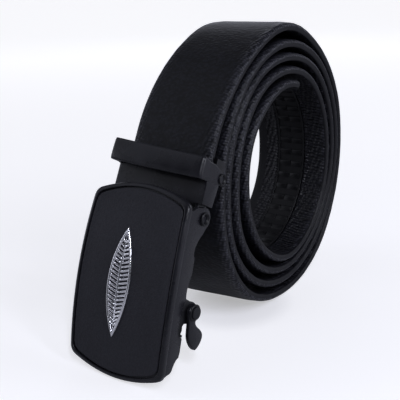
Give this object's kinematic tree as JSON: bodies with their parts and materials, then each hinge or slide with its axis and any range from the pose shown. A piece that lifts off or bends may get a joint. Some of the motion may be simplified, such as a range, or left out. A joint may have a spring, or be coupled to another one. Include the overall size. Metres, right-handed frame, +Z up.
{
  "type": "ratchet belt",
  "caption": "Black leather ratchet belt, coiled and stood on edge, with a bent face plate buckle hinged to a clamp with a keeper loop and a side release lever.",
  "frame": {"origin": "bottom centre of the whole belt, on the surface it stands on", "axes": "+Z up, -Y is the side the buckle faces, +X is the side of the release lever"},
  "size_m": [0.0438, 0.1448, 0.1125],
  "materials": {
    "strap_leather": "fine grained, satin",
    "track_plastic": "moulded, satin",
    "clamp_metal": "satin black",
    "jaw_metal": "satin black",
    "pin_steel": "blackened, semi gloss",
    "housing_metal": "satin black",
    "panel_metal": "matt black, fine grained",
    "ornament_metal": "polished",
    "lever_metal": "satin black"
  },
  "bodies": {
    "coil": {"strap": "strap_leather", "ratchet_track": "track_plastic", "clamp_frame": "clamp_metal", "clamp_jaw": "jaw_metal", "jaw_rivet_near": "pin_steel", "jaw_rivet_far": "pin_steel", "hinge_pin": "pin_steel"},
    "buckle": {"buckle_housing": "housing_metal", "face_panel": "panel_metal", "ornament": "ornament_metal"},
    "pawl": {"pawl": "pin_steel", "release_lever": "lever_metal", "lever_screw": "pin_steel"}
  },
  "joints": [
    {"name": "buckle_hinge", "type": "hinge", "parent": "coil", "child": "buckle", "pos_m": [-0.0007, -0.04289, 0.05248], "axis": [1, 0, 0], "range_deg": [-20, 35]},
    {"name": "release_lever", "type": "hinge", "parent": "buckle", "child": "pawl", "pos_m": [-0.0007, -0.05206, 0.02123], "axis": [1, 0, 0], "range_deg": [0, 25], "stiffness_Nm_per_rad": 0.02, "springref_deg": -34.38}
  ]
}
